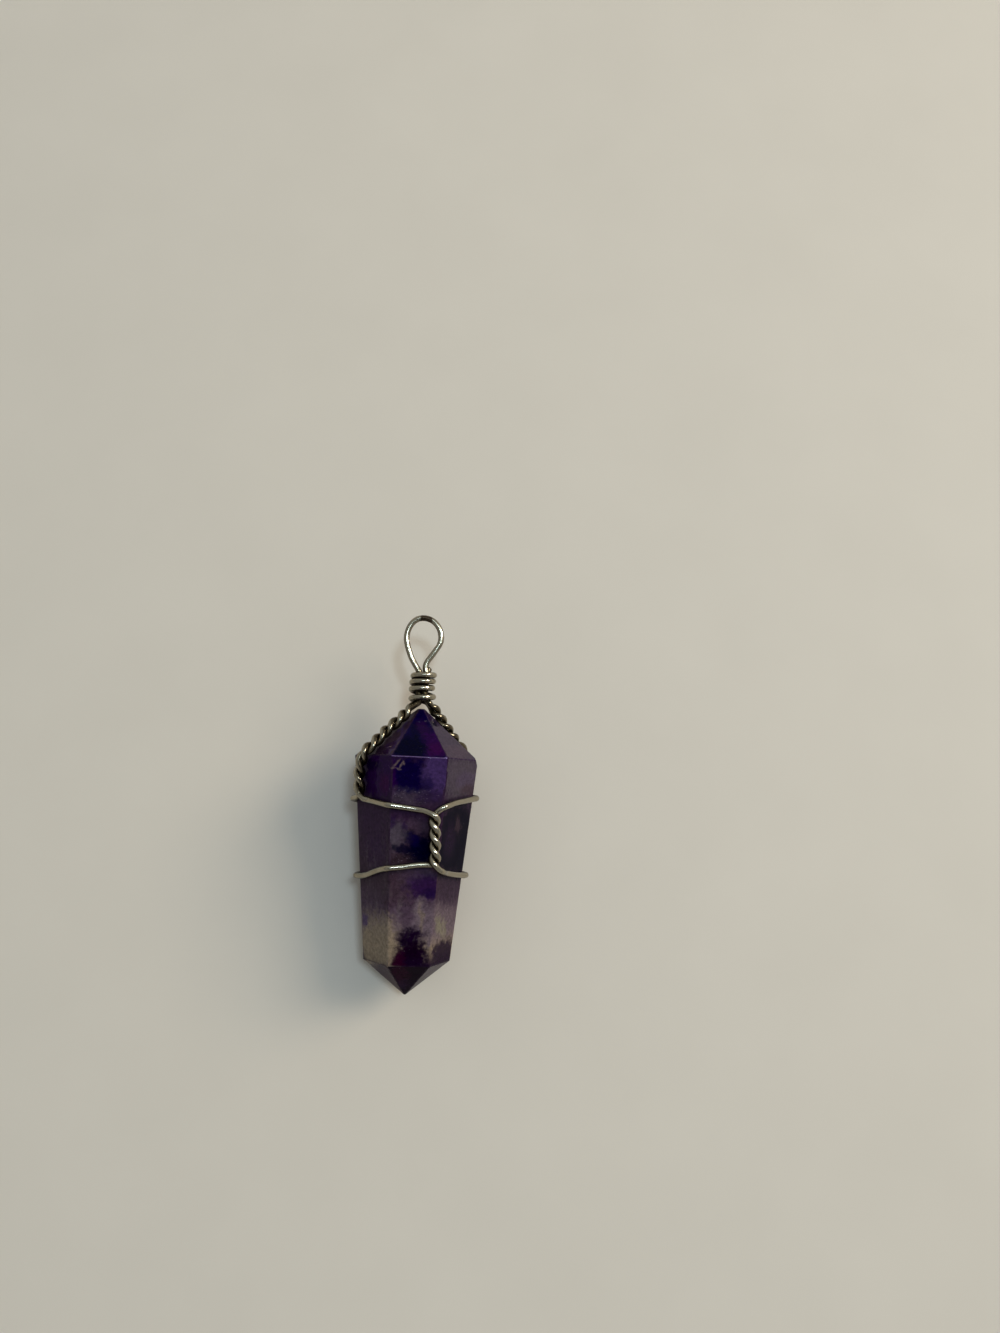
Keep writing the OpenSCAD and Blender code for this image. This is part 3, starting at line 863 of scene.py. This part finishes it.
def inclusions(t, colour, place, moved, fuzzy):
    """Dark wisps, the grain of the cloud, swarms of tiny crystals and the hooked inclusion."""
    wisps = t.ramp(t.noise(moved, 1.5, 4.0, 0.66, 0.5), 0.54, 0.74, 1.0, 0.62)
    grain = t.times(wisps, t.ramp(t.noise(place, 2.4, 3.0, 0.62), 0.3, 0.72, 0.86, 1.24))
    grey = t.add("ShaderNodeCombineColor", {0: grain, 1: grain, 2: grain})
    colour = t.mix(1.0, colour, grey, "MULTIPLY")
    thick = 0.0
    for centre, radii in SWARMS:
        off = t.vector("DIVIDE", t.vector("SUBTRACT", moved, centre), radii)
        thick = t.math("MAXIMUM", t.ramp(t.vector("LENGTH", off, out=1), 1.3, 0.5), thick)
    seeds = t.math("MULTIPLY_ADD", thick, 0.085, t.noise(place, 5.2, 2.0, 0.5))
    colour = t.mix(t.times(t.ramp(seeds, 0.72, 0.78), 0.36), colour, shade("grain"))
    # The hooked inclusion lies just under the front facet
    hook, near = 0.0, t.vector("ADD", place, t.scaled(fuzzy, 0.7))
    for stroke in HOOK:
        hook = t.math("MAXIMUM", t.ramp(t.ellipse(near, *stroke), 1.7, 0.4), hook)
    outer = t.ramp(t.part(place, "Z"), 5.5, 6.5)
    broken = t.times(outer, t.ramp(t.noise(place, 3.2, 3.0, 0.6), 0.3, 0.56, 0.25, 0.75))
    return t.mix(t.times(hook, broken), colour, shade("hook"))


def amethyst():
    t = Tree(bpy.data.materials.new("amethyst"))
    place, facing = t.attribute("stone"), t.attribute("facet")
    edge = t.attribute("edge", "Fac")
    # The zones' places are moved about a little, and their borders are ragged
    fuzzy = t.drift(place, 1.0, 3.0, 0.6)
    broad = t.scaled(t.drift(place, 0.25, 2.0, 0.5), 1.2)
    moved = t.vector("ADD", place, t.vector("ADD", broad, t.scaled(fuzzy, 1.5)))
    ragged = t.math("MULTIPLY_ADD", t.noise(place, 1.7, 3.5, 0.58), 1.8, -0.9)
    colour = zones(t, moved, facing, ragged)
    colour = inclusions(t, colour, place, moved, fuzzy)
    # Edges worn pale: a thin line along the front shoulder, faint and broken elsewhere
    chipped = t.noise(place, 1.9, 4.0, 0.7)
    rim = t.ramp(edge, 0.2, 0.0)
    worn = t.times(rim, t.ramp(chipped, 0.46, 0.66))
    level = t.ramp(t.math("ABSOLUTE", t.part(place, "Y")), 0.35, 0.2)
    ahead = t.ramp(t.vector("DOT_PRODUCT", facing, (0, 0.38, 0.92), out=1), 0.86, 0.92)
    shoulder = t.times(t.times(level, ahead), t.ramp(chipped, 0.3, 0.56, 0.25, 0.8))
    colour = t.mix(t.times(worn, 0.08), colour, shade("worn edge"))
    colour = t.mix(t.times(rim, shoulder), colour, shade("shoulder line"))
    # Fine scratches lie along the stone
    scratched = t.noise(t.vector("MULTIPLY", place, (7.0, 0.9, 7.0)), 1.6, 2.0, 0.6)
    rough = t.math("ADD", t.ramp(scratched, 0.5, 0.75, 0.04, 0.1), t.times(worn, 0.3))
    waves = t.bump(t.noise(place, 0.35, 1.0, 0.4), 0.05, 0.001)
    chips = t.times(t.ramp(edge, 0.5, 0.05), t.ramp(chipped, 0.6, 0.74))
    surface = {
        "Base Color": colour, "Roughness": rough, "IOR": 1.3, "Transmission Weight": 0.15,
        "Specular IOR Level": 0.06, "Normal": t.bump(chips, 0.35, 0.00012, waves, invert=True),
    }
    return t.finish(t.add("ShaderNodeBsdfPrincipled", surface))


def silvered_wire():
    t = Tree(bpy.data.materials.new("tarnished_wire"))
    place, lay = t.attribute("stone"), t.attribute("lay")
    shut = t.attribute("shut", "Fac")
    blotch, fine = t.noise(place, 0.55, 4.0, 0.6), t.noise(place, 3.2, 4.0, 0.65)
    drawn = t.noise(t.vector("MULTIPLY", lay, (0.25, 5.0, 5.0)), 2.2, 3.0, 0.6)
    # A thin film over the plating, in blotches and in small spots, and thicker where the wire is
    # shut in; there it is partly painted shade
    film_and_shade = t.math("ADD", t.ramp(shut, 0.12, 0.62), t.ramp(blotch, 0.5, 0.78, 0.0, 0.4), clamp=True)
    film_and_shade = t.math("ADD", film_and_shade, t.ramp(fine, 0.52, 0.8, 0.0, 0.35), clamp=True)
    colour = t.mix(t.ramp(drawn, 0.35, 0.7), shade("bright wire"), shade("dull wire"))
    colour = t.mix(film_and_shade, colour, shade("film_and_shade"))
    # The wire's flanks and every place that is shut in are darkened, partly as tarnish and partly
    # as painted shade, and the cut ends carry tarnish
    flank_shade_and_tarnish = t.math("MULTIPLY_ADD", fine, 0.3, t.attribute("outward", "Fac"))
    colour = t.mix(t.ramp(flank_shade_and_tarnish, 0.95, 0.45, 0.0, 0.85), colour, shade("flank_shade_and_tarnish"))
    colour = t.mix(t.ramp(shut, 0.32, 0.75), colour, shade("recess shade and tarnish"))
    colour = t.mix(t.times(t.attribute("tip", "Fac"), 0.9), colour, shade("wire tip"))
    # A sharp-edged brown patch on the top of the loop
    ragged = t.math("MULTIPLY_ADD", fine, 0.5, -0.25)
    across = t.math("ADD", t.math("SUBTRACT", t.part(place, "X"), 0.22), ragged)
    across = t.ramp(t.math("ABSOLUTE", across), 0.84, 0.72)
    patch = t.times(across, t.ramp(t.part(place, "Y"), 18.2, 18.5))
    colour = t.mix(t.times(patch, 0.85), colour, shade("brown patch"))
    surface = {
        "Base Color": colour, "Metallic": 1.0,
        "Roughness": t.math("ADD", t.ramp(drawn, 0.3, 0.75, 0.17, 0.27), t.times(film_and_shade, 0.2)),
        "Normal": t.bump(fine, 0.3, 0.00004, t.bump(drawn, 0.25, 0.00003)),
    }
    return t.finish(t.add("ShaderNodeBsdfPrincipled", surface))


stone_material, wire_material = amethyst(), silvered_wire()
for obj, node, material, finish in (
    (crystal, "crystal", stone_material, "amethyst"),
    (hanging, "loop_wire", wire_material, "wire"),
    (winding, "coil_wire", wire_material, "wire"),
):
    obj.data.materials.append(material)
    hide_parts(node)
    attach(obj, "root")

# ---- floor, light and camera ----
# Half the floor's width, in metres
FLOOR = 3


def pale_floor():
    t = Tree(bpy.data.materials.new("pale_floor"))
    clouded = t.noise(t.add("ShaderNodeTexCoord", out="Object"), 60.0, 3.0, 0.5)
    tone = t.mix(clouded, shade("floor low"), shade("floor high"))
    return t.finish(t.add("ShaderNodeBsdfPrincipled", {"Base Color": tone, "Roughness": 0.75}))


corners = [(-FLOOR, -FLOOR, 0), (FLOOR, -FLOOR, 0), (FLOOR, FLOOR, 0), (-FLOOR, FLOOR, 0)]
floor = new_object("floor", corners, [(0, 1, 2, 3)])
floor.data.materials.append(pale_floor())


def panel(name, azimuth, elevation, distance, size, energy, colour):
    """A rectangular light that looks at the pendant."""
    a, e = math.radians(azimuth), math.radians(elevation)
    way = Vector((math.cos(a) * math.cos(e), math.sin(a) * math.cos(e), math.sin(e)))
    light = bpy.data.lights.new(name, "AREA")
    light.shape, light.size, light.size_y = "RECTANGLE", size[0], size[1]
    light.energy, light.color = energy, colour
    obj = bpy.data.objects.new(name, light)
    bpy.context.scene.collection.objects.link(obj)
    obj.location = way * distance
    obj.rotation_mode = "QUATERNION"
    obj.rotation_quaternion = way.to_track_quat("Z", "Y")
    return obj


# The warm key is kept out of reflections. The wires mirror a smaller, neutral panel instead.
key = panel("key", 27, 35, 1.2, (0.5, 0.6), 8.3, (1.0, 0.84, 0.64))
key.visible_glossy = False
glint = panel("glint", 24, 38, 1.2, (0.26, 0.3), 14, (0.96, 0.95, 0.9))
glint.visible_diffuse = glint.visible_transmission = glint.visible_volume_scatter = False
panel("overhead", 25, 77, 1.0, (0.14, 0.14), 2.8, (0.68, 0.86, 1.0))

# The room's light, a little brighter on the far side
ROOM = [(0.0, (0.39, 0.4, 0.39, 1)), (0.9, (0.56, 0.58, 0.57, 1))]
# The dark patch where the person with the camera stands: colour, way to its middle, the distances
# at which it starts and is full, and its strength
PERSON, PERSON_WAY, PERSON_EDGE, PERSON_SHARE = (
    (0.02, 0.02, 0.025, 1), (0.1, -0.35, 0.93), (0.5, 0.22), 0.88
)


def studio():
    t = Tree(bpy.data.worlds.new("studio"))
    way = t.add("ShaderNodeTexCoord", out="Generated")
    room = t.gradient(t.part(way, "Y"), ROOM)
    apart = t.vector("DISTANCE", way, unit(PERSON_WAY).tolist(), out=1)
    colour = t.mix(t.ramp(apart, *PERSON_EDGE, 0.0, PERSON_SHARE), room, PERSON)
    return t.finish(t.add("ShaderNodeBackground", {"Color": colour}), "ShaderNodeOutputWorld")


bpy.context.scene.world = studio()
bpy.context.scene.view_settings.view_transform = "Standard"
bpy.context.scene.view_settings.gamma = GAMMA

# The photo's camera, in the stone's own frame: place, way ahead, way up
CAMERA_AT, AHEAD, UPWARD = (-9.109, -2.797, 137.51), (0.143, 0.115, -0.983), (-0.060, 0.992, 0.107)
camera = bpy.data.objects.new("camera", bpy.data.cameras.new("camera"))
bpy.context.scene.collection.objects.link(camera)
bpy.context.scene.camera = camera
camera.data.sensor_width, camera.data.lens = 36, 27
camera.data.clip_start, camera.data.clip_end = 0.002, 20
ahead = TURN @ unit(AHEAD)
right = unit(np.cross(ahead, TURN @ unit(UPWARD)))
spot = Matrix(np.stack([right, np.cross(right, ahead), -ahead], axis=1).tolist()).to_4x4()
spot.translation = Vector(to_row(CAMERA_AT).tolist())
camera.matrix_world = spot
